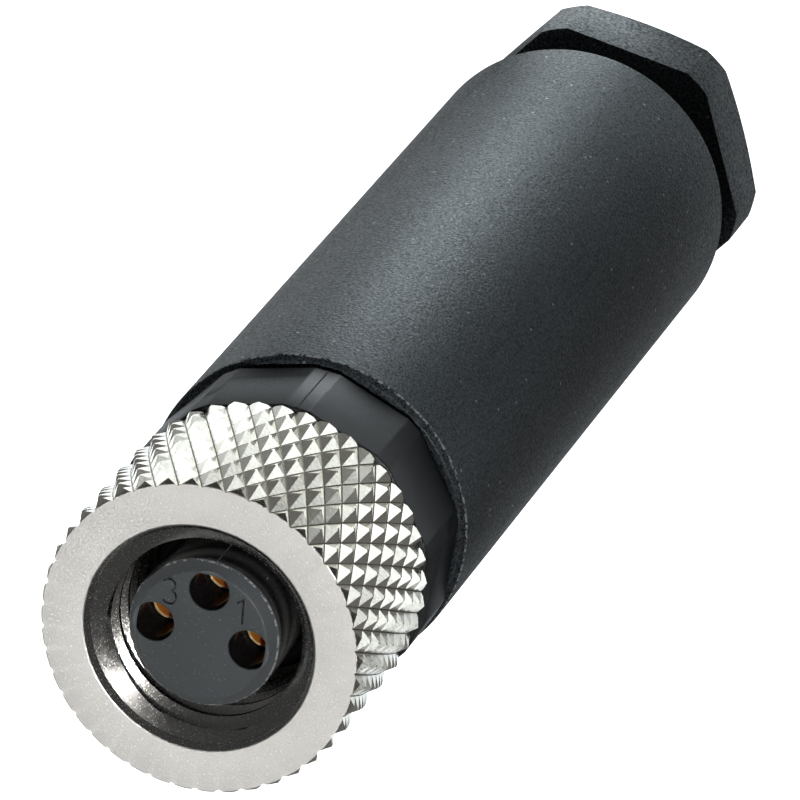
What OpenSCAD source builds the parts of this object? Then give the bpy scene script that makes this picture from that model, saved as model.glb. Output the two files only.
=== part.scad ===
// Straight cable socket with a knurled M8 coupling nut and three screw-terminal contacts.
// It stands on its cable end with the mating face up. The axis is Z, contact 1 lies at +X
// and contact 4 at +Y, and all lengths are millimetres.

/* [Coupling nut] */
// Diameter over the knurl's crests
nut_d = 12; // [11.4:0.1:13]
// Length of the nut
nut_len = 7.6; // [7:0.1:9]
// Depth of the knurl
knurl_depth = 0.34; // [0.2:0.02:0.45]
// Knurl grooves round the nut, each way
knurl_count = 42; // [30:1:54]
// Rows of knurl points along the nut
knurl_rows = 8; // [6:1:12]
// Height of the chamfer that ends the knurl at the mating face
nut_edge = 0.36; // [0.2:0.02:0.6]
// Bore over the roots of the coupling thread, so that a plain mate of the thread's size enters
thread_root_d = 8.1; // [8.05:0.05:8.3]
// Width of the bevel round the mouth
mouth_bevel = 0.2; // [0.1:0.05:0.35]
// Diameter of the relief behind the thread
relief_d = 8.4; // [8.35:0.05:8.8]
// Length of that relief
relief_len = 1.5; // [1.2:0.1:2]
// Thickness of the inner flange that keeps the nut on its carrier
flange_t = 1.4; // [1:0.1:1.8]

/* [Contact insert and carrier] */
// Diameter of the plug-in face
insert_d = 5.5; // [5.2:0.05:5.7]
// Depth of that face below the nut's rim
insert_recess = 0.25; // [0:0.05:0.6]
// Chamfer round the plug-in face
insert_chamfer = 0.35; // [0.1:0.05:0.5]
// Depth of the keying flat on the plug-in face's side
key_depth = 0.07; // [0.04:0.01:0.2]
// Direction of the keying flat, in degrees from contact 1
key_angle = 143; // [100:1:170]
// Diameter of the neck that the nut turns on
neck_d = 6.6; // [6.3:0.05:6.8]
// Height of the bead that the nut's flange snaps over
bead_h = 0.7; // [0.5:0.05:0.9]
// Height of the bead below its sloping lead-in
bead_land = 0.28; // [0.1:0.02:0.5]
// Overlap of the bead and the flange, measured on the radius
bead_catch = 0.2; // [0.1:0.02:0.3]
// Number of flats round the grip collar
collar_flats = 10; // [8:1:12]
// Width of the grip collar over its flats
collar_af = 11.4; // [11:0.1:11.6]
// Width of the bevel on each of the collar's corners
collar_bevel = 0.63; // [0.3:0.03:0.9]
// Width of the bevel on the corner that carries the mould's parting line
seam_bevel = 0.94; // [0.63:0.01:1.2]
// Height of the collar between the nut and the sleeve
collar_h = 4.15; // [3:0.05:6]
// Gap between the collar and the sleeve's rim
collar_gap = 0.4; // [0.2:0.05:0.6]
// Length of the thread that the sleeve screws on
carrier_thread_len = 5; // [4:0.25:7]
// Gap round the terminal block behind that thread
block_play = 0.2; // [0.1:0.05:0.4]
// Gap between that block and the sleeve's web
block_gap = 0.5; // [0.3:0.05:0.8]

/* [Contacts] */
// Diameter of the circle that the contacts stand on
contact_circle_d = 3.5; // [3.2:0.05:3.7]
// Diameter of the holes in the plug-in face
contact_hole_d = 1.45; // [1.35:0.05:1.6]
// Outside diameter of a socket
socket_d = 1.34; // [1.3:0.01:1.38]
// Bore of a socket
socket_bore_d = 1.05; // [0.9:0.01:1.1]
// Depth of a socket's bore
socket_depth = 6; // [4:0.25:8]
// Depth of a socket's rim below the plug-in face
socket_recess = 1.85; // [1:0.05:2.5]
// Plastic left between two neighbouring terminals
terminal_wall = 0.665; // [0.5:0.005:0.9]
// Depth of the terminals inside the block's surface
terminal_inset = 0.75; // [0.65:0.05:1]
// Length of a terminal
terminal_len = 8.5; // [7:0.25:9]
// Bore for a wire end
wire_d = 1.4; // [1:0.05:1.6]
// Depth of that bore
wire_depth = 6.4; // [5:0.1:7]
// Height of a terminal screw above its terminal's end
screw_height = 3.4; // [2.5:0.1:4.5]
// Thread diameter of a terminal screw
screw_d = 1.6; // [1.4:0.05:1.8]
// Head diameter of a terminal screw
screw_head_d = 2.2; // [2:0.05:2.4]
// Head height of a terminal screw
screw_head_h = 0.55; // [0.45:0.05:0.6]
// Width of the screwdriver slot
screw_slot_w = 0.35; // [0.25:0.05:0.5]
// Depth of the screwdriver slot
screw_slot_depth = 0.28; // [0.2:0.02:0.35]

/* [Sleeve] */
// Outside diameter of the sleeve
sleeve_d = 12; // [11.8:0.1:13]
// Length of the sleeve
sleeve_len = 33; // [31:0.5:42]
// Wall round the mouth that takes the carrier's seal
mouth_wall = 0.5; // [0.4:0.05:0.6]
// Depth of that mouth
mouth_depth = 1.6; // [1.4:0.1:2]
// Step from the mouth down to the carrier's thread, measured on the radius
thread_step = 0.5; // [0.4:0.05:0.7]
// Wall round the terminals
chamber_wall = 1.2; // [1.1:0.05:1.4]
// Wall round the bore for the pressing screw
rear_wall = 1.45; // [1.3:0.05:1.6]
// Step from that bore down to the web between the terminals and the cable seal
web_step = 1.55; // [1.3:0.05:1.8]
// Thickness of that web
web_t = 1.15; // [0.8:0.05:1.6]
// Rounding of the sleeve's rear edge
sleeve_round = 0.35; // [0.1:0.05:0.6]
// Chamfer of the sleeve's front rim
sleeve_chamfer = 0.2; // [0.1:0.02:0.3]

/* [Cable gland] */
// Width of the pressing screw's hexagon over its flats
hex_af = 10.8; // [10:0.1:11.2]
// Height of the hexagon
hex_h = 3.3; // [2.8:0.1:5]
// Diameter that rounds the hexagon's corners
hex_corner_d = 11.9; // [11.4:0.05:12]
// Direction of a corner of the hexagon, in degrees from contact 1
hex_angle = 55; // [0:1:60]
// Diameter of the flat end face that the part stands on
hex_face_d = 9.8; // [9:0.1:10]
// Gap between the hexagon and the sleeve, with the seal not yet squeezed
hex_gap = 2.35; // [1:0.05:3]
// Length of the screw's thread inside the sleeve
screw_engage = 6.4; // [5:0.1:8]
// Wall of that thread round the cable's bore
stub_wall = 1.8; // [1.6:0.05:2.2]
// Chamfer at the mouth of that bore
cable_chamfer = 0.5; // [0.2:0.05:0.8]
// Height of the clamp ring
clamp_h = 3.2; // [2.6:0.1:4]
// Wall of the clamp ring
clamp_wall = 1.6; // [1.4:0.05:1.7]
// Height of the clamp ring's closed end
clamp_base_h = 0.95; // [0.6:0.05:1.4]
// Taper of the clamp ring's tip, measured on the radius
clamp_taper = 0.64; // [0.3:0.02:0.8]
// Fingers of the clamp ring
clamp_fingers = 8; // [6:1:12]
// Width of the slots between those fingers
clamp_slot_w = 0.6; // [0.4:0.05:0.9]
// Height of the cable seal
seal_h = 4.5; // [3.5:0.1:6]
// Wall of the cable seal
seal_wall = 2; // [1.9:0.05:2.4]
// Grooves round the cable seal
seal_grooves = 3; // [2:1:4]
// Radius of those grooves
seal_groove_r = 0.3; // [0.2:0.05:0.4]

/* [Seals and fits] */
// Section of the seal at the foot of the plug-in face
face_seal_d = 0.72; // [0.7:0.02:0.8]
// Section of the seal between the carrier and the sleeve
carrier_seal_d = 1; // [0.9:0.02:1.1]
// Play on the radius between parts that turn or slide on each other
turn_gap = 0.05; // [0.03:0.01:0.08]
// Play on the radius round a pressed-in or stretched-on piece
seat_gap = 0.02; // [0.01:0.005:0.04]
// Play along the axis at the nut's flange and between the gland's pieces
end_play = 0.1; // [0.05:0.01:0.15]

/* [Hidden] */
$fn = 96;
eps = 0.01;
open_end = 1;
contact_numbers = [1, 4, 3];

mouth_d = sleeve_d - 2 * mouth_wall;
carrier_thread_d = mouth_d - 2 * thread_step;
chamber_d = sleeve_d - 2 * chamber_wall;
rear_bore_d = sleeve_d - 2 * rear_wall;
web_bore_d = rear_bore_d - 2 * web_step;
gland_d = rear_bore_d - 2 * turn_gap;
cable_bore_d = gland_d - 2 * stub_wall;
clamp_bore_d = gland_d - 2 * clamp_wall;

z_sleeve = hex_h + hex_gap;
z_sleeve_top = z_sleeve + sleeve_len;
z_nut = z_sleeve_top + collar_h;
z_top = z_nut + nut_len;

z_stub_top = z_sleeve + screw_engage;
z_clamp = z_stub_top + end_play;
z_seal = z_clamp + clamp_h + end_play;
z_web = z_seal + seal_h;
z_chamber = z_web + web_t;

nut_r = nut_d / 2;
valley_r = nut_r - knurl_depth;
flange_r = neck_d / 2 + turn_gap;
z_flange_top = z_nut + flange_t;
z_thread = z_flange_top + relief_len;
knurl_points = 2 * knurl_count;
knurl_row_h = (nut_len - nut_edge) / knurl_rows;

z_face = z_top - insert_recess;
z_collar = z_sleeve_top + collar_gap;
z_collar_top = z_nut - end_play;
z_bead = z_flange_top + end_play;
z_face_seal = z_bead + bead_h;
z_insert = z_face_seal + face_seal_d + 2 * seat_gap;
z_insert_foot = z_face_seal + seat_gap;
face_seal_root_r = neck_d / 2 - face_seal_d - 2 * seat_gap;
bead_r = flange_r + bead_catch;
corner_r = collar_af / 2 / cos(180 / collar_flats);
bevel_drop = collar_bevel / 2 * tan(180 / collar_flats);
seam_drop = seam_bevel / 2 * tan(180 / collar_flats);
carrier_groove_h = carrier_seal_d + 2 * seat_gap;
carrier_groove_r = mouth_d / 2 - carrier_seal_d - turn_gap - seat_gap;
z_carrier_thread_top = z_collar - carrier_groove_h;
z_carrier_thread = z_carrier_thread_top - carrier_thread_len;
z_carrier = z_chamber + block_gap;

z_terminal_top = z_carrier_thread - end_play;
z_terminal = z_terminal_top - terminal_len;
z_screw = z_terminal + screw_height;
block_d = chamber_d - 2 * block_play;
block_r = block_d / 2;
// Neighbouring terminals stand a quarter turn apart and fill the block's radius but for its two walls
terminal_reach = block_r - terminal_inset;
terminal_r = (sqrt(2) * terminal_reach - terminal_wall) / (2 + sqrt(2));
terminal_d = 2 * terminal_r;
terminal_circle_r = terminal_reach - terminal_r;
screw_seat_r = terminal_reach + end_play;
screw_tip_r = terminal_circle_r + wire_d / 4;

// Crests and valleys alternate round each row, and change places from row to row
function knurl_r(i, k) = (i + k) % 2 == 0 ? nut_r : valley_r;
function ring_point(r, i, z) = [r * cos(360 * i / knurl_points), r * sin(360 * i / knurl_points), z];
function knurl_index(i, k) = k * knurl_points + i % knurl_points;

// The two triangles of a cell, split along the groove that crosses it
function knurl_cell(i, k) =
    let (a = knurl_index(i, k), b = knurl_index(i + 1, k))
    let (c = knurl_index(i + 1, k + 1), d = knurl_index(i, k + 1))
    (i + k) % 2 == 0 ? [[a, d, b], [b, d, c]] : [[a, d, c], [a, c, b]];

// Solid nut blank: a field of pyramids that a chamfer ends at the mating face
module knurled_blank() {
    last = knurl_points - 1;
    rows = [
        for (k = [0 : knurl_rows], i = [0 : last])
        ring_point(knurl_r(i, k), i, z_nut + k * knurl_row_h)
    ];
    rim = [for (i = [0 : last]) ring_point(valley_r, i, z_top)];
    sides = [for (k = [0 : knurl_rows], i = [0 : last]) each knurl_cell(i, k)];
    foot = [for (i = [0 : last]) i];
    face = [for (i = [0 : last]) knurl_index(last - i, knurl_rows + 1)];
    polyhedron(points = concat(rows, rim), faces = concat(sides, [foot, face]), convexity = 10);
}

// Full torus for a ring seal, given by its inner radius and its lowest point
module ring_seal(inner_r, section_d, z) {
    translate([0, 0, z])
        rotate_extrude()
            translate([inner_r + section_d / 2, section_d / 2])
                circle(d = section_d, $fn = 48);
}

// Places its children at one contact, looking outwards along +X
module at_contact(number) {
    turns = search(number, contact_numbers)[0];
    rotate([0, 0, 90 * turns])
        children();
}

// Knurled ring of plated brass, turned and threaded for an M8 x 1 mate
module coupling_nut() {
    color("silver")
        difference() {
            knurled_blank();
            rotate_extrude()
                polygon([
                    [0, z_nut - open_end],
                    [flange_r, z_nut - open_end],
                    [flange_r, z_flange_top],
                    [relief_d / 2, z_flange_top],
                    [relief_d / 2, z_thread],
                    [thread_root_d / 2, z_thread + (relief_d - thread_root_d) / 2],
                    [thread_root_d / 2, z_top - mouth_bevel],
                    [thread_root_d / 2 + mouth_bevel, z_top],
                    [thread_root_d / 2 + mouth_bevel, z_top + open_end],
                    [0, z_top + open_end]
                ]);
        }
}

// Outline of the grip collar: a regular polygon with bevelled corners, the widest above contact 4
module collar_outline() {
    half_turn = 180 / collar_flats;
    difference() {
        intersection() {
            rotate(90)
                circle(r = corner_r, $fn = collar_flats);
            rotate(90 + half_turn)
                circle(r = (corner_r - bevel_drop) / cos(half_turn), $fn = collar_flats);
        }
        translate([-corner_r, corner_r - seam_drop])
            square(2 * corner_r);
    }
}

// Cavity of one contact: entry hole, socket bore, terminal pocket and screw access
module contact_cavity() {
    r = contact_circle_d / 2;
    translate([r, 0, z_insert])
        cylinder(d = contact_hole_d, h = z_face - z_insert + open_end);
    translate([r, 0, z_terminal_top - eps])
        cylinder(d = socket_d + 2 * seat_gap, h = z_insert - z_terminal_top + 2 * eps);
    translate([terminal_circle_r, 0, z_carrier - open_end])
        cylinder(r = terminal_r + seat_gap, h = z_terminal_top - z_carrier + open_end);
    translate([terminal_circle_r, 0, z_screw])
        rotate([0, 90, 0])
            cylinder(d = screw_head_d + 4 * turn_gap, h = block_r);
}

// Plug-in face that guides the mate, with the core that the face seal sits on
module contact_insert() {
    color("#3b4147")
        difference() {
            rotate_extrude()
                polygon([
                    [0, z_insert_foot],
                    [face_seal_root_r, z_insert_foot],
                    [face_seal_root_r, z_insert],
                    [insert_d / 2, z_insert],
                    [insert_d / 2, z_face - insert_chamfer],
                    [insert_d / 2 - insert_chamfer, z_face],
                    [0, z_face]
                ]);
            for (number = contact_numbers)
                at_contact(number)
                    contact_cavity();
            rotate([0, 0, key_angle])
                translate([insert_d / 2 - key_depth, -insert_d / 2, z_insert])
                    cube([insert_d, insert_d, z_face - z_insert + open_end]);
        }
}

// One moulding: neck and bead for the nut, grip collar, thread and terminal block
module contact_carrier() {
    color("#33383d")
        difference() {
            union() {
                rotate_extrude()
                    polygon([
                        [0, z_carrier],
                        [block_r, z_carrier],
                        [block_r, z_carrier_thread],
                        [carrier_thread_d / 2, z_carrier_thread + (carrier_thread_d - block_d) / 2],
                        [carrier_thread_d / 2, z_carrier_thread_top],
                        [carrier_groove_r, z_carrier_thread_top],
                        [carrier_groove_r, z_collar + eps],
                        [neck_d / 2, z_collar + eps],
                        [neck_d / 2, z_bead],
                        [bead_r, z_bead],
                        [bead_r, z_bead + bead_land],
                        [neck_d / 2, z_face_seal],
                        [0, z_face_seal]
                    ]);
                translate([0, 0, z_collar])
                    linear_extrude(z_collar_top - z_collar)
                        collar_outline();
            }
            for (number = contact_numbers)
                at_contact(number)
                    contact_cavity();
        }
}

// Rubber ring at the foot of the plug-in face, squeezed by the mate
module face_seal() {
    color("#15171a")
        ring_seal(face_seal_root_r + seat_gap, face_seal_d, z_face_seal + seat_gap);
}

// Rubber ring between the carrier and the sleeve's mouth
module carrier_seal() {
    color("#15171a")
        ring_seal(carrier_groove_r + seat_gap, carrier_seal_d, z_carrier_thread_top + seat_gap);
}

// Gold-plated contact: turned socket in front, eccentric screw terminal behind
module contact(number) {
    z_socket_top = z_face - socket_recess;
    color("gold")
        at_contact(number)
            difference() {
                union() {
                    translate([contact_circle_d / 2, 0, z_terminal_top - eps])
                        cylinder(d = socket_d, h = z_socket_top - z_terminal_top + eps);
                    translate([terminal_circle_r, 0, z_terminal])
                        cylinder(d = terminal_d, h = terminal_len);
                }
                translate([contact_circle_d / 2, 0, z_socket_top - socket_depth])
                    cylinder(d = socket_bore_d, h = socket_depth + open_end);
                translate([terminal_circle_r, 0, z_terminal - open_end])
                    cylinder(d = wire_d, h = wire_depth + open_end);
                translate([terminal_circle_r, 0, z_screw])
                    rotate([0, 90, 0])
                        cylinder(d = screw_d + 2 * turn_gap, h = terminal_d);
            }
}

module contact_1() {
    contact(1);
}

module contact_3() {
    contact(3);
}

module contact_4() {
    contact(4);
}

// Slotted screw that clamps the wire end in its terminal
module terminal_screw(number) {
    color("gainsboro")
        at_contact(number)
            translate([0, 0, z_screw])
                rotate([0, 90, 0])
                    difference() {
                        union() {
                            translate([0, 0, screw_tip_r])
                                cylinder(d = screw_d, h = screw_seat_r - screw_tip_r + eps, $fn = 48);
                            translate([0, 0, screw_seat_r])
                                cylinder(d = screw_head_d, h = screw_head_h, $fn = 48);
                        }
                        translate([-screw_slot_w / 2, -screw_head_d, screw_seat_r + screw_head_h - screw_slot_depth])
                            cube([screw_slot_w, 2 * screw_head_d, open_end]);
                    }
}

module terminal_screw_1() {
    terminal_screw(1);
}

module terminal_screw_3() {
    terminal_screw(3);
}

module terminal_screw_4() {
    terminal_screw(4);
}

// Grained tube that covers the terminals and holds the cable gland
module sleeve() {
    outer_r = sleeve_d / 2;
    thread_r = carrier_thread_d / 2 + turn_gap;
    z_mouth = z_sleeve_top - mouth_depth;
    z_chamber_top = z_carrier_thread - end_play;
    color("#2b2f34")
        rotate_extrude()
            difference() {
                union() {
                    translate([0, z_sleeve + sleeve_round])
                        square([outer_r, sleeve_len - sleeve_round - sleeve_chamfer]);
                    translate([0, z_sleeve])
                        square([outer_r - sleeve_round, sleeve_round + eps]);
                    translate([outer_r - sleeve_round, z_sleeve + sleeve_round])
                        circle(r = sleeve_round, $fn = 48);
                    translate([0, z_sleeve_top - sleeve_chamfer])
                        polygon([
                            [0, -eps],
                            [outer_r, -eps],
                            [outer_r, 0],
                            [outer_r - sleeve_chamfer, sleeve_chamfer],
                            [0, sleeve_chamfer]
                        ]);
                }
                polygon([
                    [0, z_sleeve - open_end],
                    [rear_bore_d / 2, z_sleeve - open_end],
                    [rear_bore_d / 2, z_web],
                    [web_bore_d / 2, z_web],
                    [web_bore_d / 2, z_chamber],
                    [chamber_d / 2, z_chamber],
                    [chamber_d / 2, z_chamber_top - (thread_r - chamber_d / 2)],
                    [thread_r, z_chamber_top],
                    [thread_r, z_mouth - (mouth_d / 2 - thread_r)],
                    [mouth_d / 2, z_mouth],
                    [mouth_d / 2, z_sleeve_top + open_end],
                    [0, z_sleeve_top + open_end]
                ]);
            }
}

// Rubber bush that seals on the cable
module cable_seal() {
    color("#1d1f21")
        translate([0, 0, z_seal])
            rotate_extrude()
                difference() {
                    translate([gland_d / 2 - seal_wall, 0])
                        square([seal_wall, seal_h]);
                    for (i = [1 : seal_grooves])
                        translate([gland_d / 2, i * seal_h / (seal_grooves + 1)])
                            circle(r = seal_groove_r, $fn = 32);
                }
}

// Slotted plastic ring whose fingers close on the cable
module clamp_ring() {
    color("#4a4f54")
        translate([0, 0, z_clamp])
            difference() {
                rotate_extrude()
                    polygon([
                        [clamp_bore_d / 2, 0],
                        [gland_d / 2, 0],
                        [gland_d / 2, clamp_h - 2 * clamp_taper],
                        [gland_d / 2 - clamp_taper, clamp_h],
                        [clamp_bore_d / 2, clamp_h]
                    ]);
                for (i = [0 : clamp_fingers - 1])
                    rotate([0, 0, 360 * i / clamp_fingers])
                        translate([0, -clamp_slot_w / 2, clamp_base_h])
                            cube([gland_d, clamp_slot_w, clamp_h]);
            }
}

// Hexagon-headed hollow screw that presses the clamp ring into the seal
module pressing_screw() {
    corner_lift = (hex_corner_d - hex_face_d) / 2 * tan(30);
    color("#26292c")
        difference() {
            union() {
                intersection() {
                    rotate([0, 0, hex_angle])
                        cylinder(r = hex_af / 2 / cos(30), h = hex_h, $fn = 6);
                    rotate_extrude()
                        polygon([
                            [0, 0],
                            [hex_face_d / 2, 0],
                            [hex_corner_d / 2, corner_lift],
                            [hex_corner_d / 2, hex_h],
                            [0, hex_h]
                        ]);
                }
                translate([0, 0, hex_h - eps])
                    cylinder(d = gland_d, h = z_stub_top - hex_h + eps);
            }
            rotate_extrude()
                polygon([
                    [0, -open_end],
                    [cable_bore_d / 2 + cable_chamfer, -open_end],
                    [cable_bore_d / 2 + cable_chamfer, 0],
                    [cable_bore_d / 2, cable_chamfer],
                    [cable_bore_d / 2, z_stub_top + open_end],
                    [0, z_stub_top + open_end]
                ]);
        }
}

coupling_nut();
contact_insert();
contact_carrier();
face_seal();
carrier_seal();
contact_1();
contact_3();
contact_4();
terminal_screw_1();
terminal_screw_3();
terminal_screw_4();
sleeve();
cable_seal();
clamp_ring();
pressing_screw();
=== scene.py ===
import math

import bmesh
import bpy
from mathutils import Matrix, Quaternion, Vector, noise


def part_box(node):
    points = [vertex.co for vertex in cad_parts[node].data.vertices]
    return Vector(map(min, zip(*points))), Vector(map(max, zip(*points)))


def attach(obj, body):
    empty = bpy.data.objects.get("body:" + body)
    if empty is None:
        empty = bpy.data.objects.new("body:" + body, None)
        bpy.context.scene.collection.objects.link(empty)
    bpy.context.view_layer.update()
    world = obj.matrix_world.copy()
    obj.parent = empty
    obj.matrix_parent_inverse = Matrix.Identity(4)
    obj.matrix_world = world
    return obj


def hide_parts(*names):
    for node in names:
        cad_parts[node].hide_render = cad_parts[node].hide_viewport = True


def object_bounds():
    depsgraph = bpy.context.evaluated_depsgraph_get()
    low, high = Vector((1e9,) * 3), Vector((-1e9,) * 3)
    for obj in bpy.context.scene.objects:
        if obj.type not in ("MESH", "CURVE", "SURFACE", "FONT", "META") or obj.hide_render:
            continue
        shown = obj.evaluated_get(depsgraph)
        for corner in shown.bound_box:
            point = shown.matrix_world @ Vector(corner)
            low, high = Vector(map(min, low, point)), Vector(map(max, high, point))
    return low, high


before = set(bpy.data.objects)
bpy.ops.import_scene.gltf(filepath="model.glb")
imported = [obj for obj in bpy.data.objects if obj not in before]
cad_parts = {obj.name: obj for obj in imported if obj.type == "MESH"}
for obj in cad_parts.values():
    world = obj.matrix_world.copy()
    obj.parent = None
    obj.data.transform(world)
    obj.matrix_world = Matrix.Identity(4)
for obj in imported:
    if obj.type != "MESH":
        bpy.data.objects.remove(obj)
cad_low, cad_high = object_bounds()
MM = 0.001

# Contacts: three turned brass sockets, gold plated, each with an eccentric block for its wire screw.
# They are pressed into the carrier from behind and stop a little way below the plug-in face.
SOCKET_CIRCLE_R = 1.75
SOCKET_R, SOCKET_BORE_R, SOCKET_BORE_DEPTH, SOCKET_ROOT = 0.67, 0.525, 6.0, 0.4
SOCKET_LIP, SOCKET_LEAD, SOCKET_LEAD_DEPTH = 0.025, 0.075, 0.5
BLOCK_LEN, BLOCK_EDGE = 8.5, 0.12
WIRE_BORE_R, WIRE_BORE_DEPTH = 0.7, 6.4
SCREW_BORE_R, SCREW_AXIS_Z = 0.85, 27.81
CONTACT_TURNS = {1: 0, 4: 90, 3: 180}
CONTACT_STEPS, DRILL_STEPS = 48, 40
LYING = Matrix.Rotation(math.pi / 2, 4, "Y")


def lathe(bm, outline, steps, centre=(0, 0), closed=False):
    """Spins an outline of radius and height points round an upright axis."""
    verts = [bm.verts.new((centre[0] + r, centre[1], z)) for r, z in outline]
    edges = [bm.edges.new(pair) for pair in zip(verts, verts[1:])]
    if closed:
        edges.append(bm.edges.new((verts[-1], verts[0])))
    bmesh.ops.spin(bm, geom=verts + edges, cent=(*centre, 0), axis=(0, 0, 1),
                   angle=math.tau, steps=steps, use_merge=True)
    bmesh.ops.remove_doubles(bm, verts=bm.verts, dist=1e-4)


def turn_about_axis(bm, angle):
    """Turns a shape about the connector's axis, by an angle in radians."""
    bmesh.ops.rotate(bm, verts=bm.verts, cent=(0, 0, 0), matrix=Matrix.Rotation(angle, 3, "Z"))


def soften(bm, width, over=25, segments=2):
    """Rounds every edge where two faces meet at more than the given angle in degrees."""
    edges = [e for e in bm.edges if e.is_manifold and e.calc_face_angle() > math.radians(over)]
    bmesh.ops.bevel(bm, geom=edges, offset=width, offset_type="OFFSET", segments=segments,
                    profile=0.5, affect="EDGES", clamp_overlap=True, material=-1)


def carved(bm, tool, operation):
    """Combines two closed shapes and returns the result; both are used up."""
    pair = []
    for shape in (bm, tool):
        bmesh.ops.recalc_face_normals(shape, faces=shape.faces)
        mesh = bpy.data.meshes.new("blank")
        shape.to_mesh(mesh)
        shape.free()
        pair.append(bpy.data.objects.new("blank", mesh))
        bpy.context.scene.collection.objects.link(pair[-1])
    cut = pair[0].modifiers.new("cut", "BOOLEAN")
    cut.operation, cut.object, cut.solver = operation, pair[1], "EXACT"
    result = bmesh.new()
    result.from_object(pair[0], bpy.context.evaluated_depsgraph_get())
    for blank in pair:
        mesh = blank.data
        bpy.data.objects.remove(blank)
        bpy.data.meshes.remove(mesh)
    return result


def face_outwards(bm):
    """Turns the faces of every closed shell outwards, by the sign of the shell's volume."""
    bmesh.ops.recalc_face_normals(bm, faces=bm.faces)
    bm.normal_update()
    left = set(bm.faces)
    while left:
        shell, rim = set(), {left.pop()}
        while rim:
            shell |= rim
            rim = {other for face in rim for edge in face.edges for other in edge.link_faces} - shell
        left -= shell
        if sum(face.verts[0].co.dot(face.normal) * face.calc_area() for face in shell) < 0:
            bmesh.ops.reverse_faces(bm, faces=list(shell))


def settle(name, bm, body, finishes, replaces=(), crease=32):
    """Turns a shape drawn in millimetres into a piece in metres that rides on a body."""
    bmesh.ops.scale(bm, vec=(MM, MM, MM), verts=bm.verts)
    bmesh.ops.remove_doubles(bm, verts=bm.verts, dist=1e-7)
    bmesh.ops.dissolve_degenerate(bm, dist=1e-7, edges=bm.edges)
    face_outwards(bm)
    mesh = bpy.data.meshes.new(name)
    bm.to_mesh(mesh)
    bm.free()
    mesh.shade_smooth()
    mesh.set_sharp_from_angle(angle=math.radians(crease))
    for finish in finishes:
        mesh.materials.append(finish)
    piece = bpy.data.objects.new(name, mesh)
    bpy.context.scene.collection.objects.link(piece)
    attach(piece, body)
    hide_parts(*replaces)
    return piece


def node_box(node):
    """Lowest and highest corner of a CAD node, in millimetres."""
    low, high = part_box(node)
    return low / MM, high / MM


def new_finish(name):
    """A material with its node tree, its shader and its object coordinates."""
    finish = bpy.data.materials.new(name)
    finish.use_nodes = True
    tree = finish.node_tree
    place = tree.nodes.new("ShaderNodeTexCoord").outputs["Object"]
    return finish, tree, tree.nodes["Principled BSDF"], place


def add(tree, kind, inputs, **settings):
    """Adds a node; an input is a value or another node's output."""
    made = tree.nodes.new(kind)
    for key, value in settings.items():
        setattr(made, key, value)
    for socket, value in inputs.items():
        if isinstance(value, bpy.types.NodeSocket):
            tree.links.new(value, made.inputs[socket])
        else:
            made.inputs[socket].default_value = value
    return made


def grain(tree, place, size_mm, detail=2.0, stretch=(1, 1, 1)):
    """Noise of a given grain size; stretch shortens the grain along an axis."""
    per_metre = 1 / (size_mm * MM)
    spread = add(tree, "ShaderNodeMapping", {"Vector": place, "Scale": [per_metre * s for s in stretch]})
    inputs = {"Vector": spread.outputs["Vector"], "Scale": 1.0, "Detail": detail, "Roughness": 0.55}
    return add(tree, "ShaderNodeTexNoise", inputs).outputs["Fac"]


def ranged(tree, value, low, high, start=0.3, end=0.7):
    """Carries a value's range over to another range."""
    return add(tree, "ShaderNodeMapRange", {"Value": value, "From Min": start, "From Max": end,
                                            "To Min": low, "To Max": high}).outputs["Result"]


def tinted(tree, share, first, second):
    """Colour between two tones, by a share from 0 to 1."""
    mix = add(tree, "ShaderNodeMix", {"Factor": share}, data_type="RGBA")
    mix.inputs[6].default_value = (*first, 1)
    mix.inputs[7].default_value = (*second, 1)
    return mix.outputs[2]


def coloured(tree, shader, pattern, first, second):
    """Gives a shader the colours between two tones, by a noise pattern."""
    tree.links.new(tinted(tree, ranged(tree, pattern, 0, 1), first, second), shader.inputs["Base Color"])


def embossed(tree, height, depth_mm, under=None):
    """Bump of a given depth, on top of another one where it is given."""
    inputs = {"Height": height, "Distance": depth_mm * MM, "Strength": 1.0}
    if under is not None:
        inputs["Normal"] = under
    return add(tree, "ShaderNodeBump", inputs).outputs["Normal"]


# The second gold, pale and creamy, is a painted highlight: it stands in for the bright line along each
# socket's rim.
golds = []
for name, light, deep in (("gold_plate", (1.0, 0.44, 0.07), (0.95, 0.34, 0.045)),
                          ("gold_lip_painted_highlight", (1.0, 0.76, 0.42), (0.95, 0.66, 0.3))):
    gold, tree, shader, place = new_finish(name)
    worn = grain(tree, place, 0.3)
    turning = grain(tree, place, 0.6, 3.0, (1, 1, 25))
    coloured(tree, shader, worn, light, deep)
    tree.links.new(ranged(tree, turning, 0.08, 0.2), shader.inputs["Roughness"])
    tree.links.new(embossed(tree, turning, 0.002), shader.inputs["Normal"])
    shader.inputs["Metallic"].default_value = 0.45
    golds.append(gold)

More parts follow.
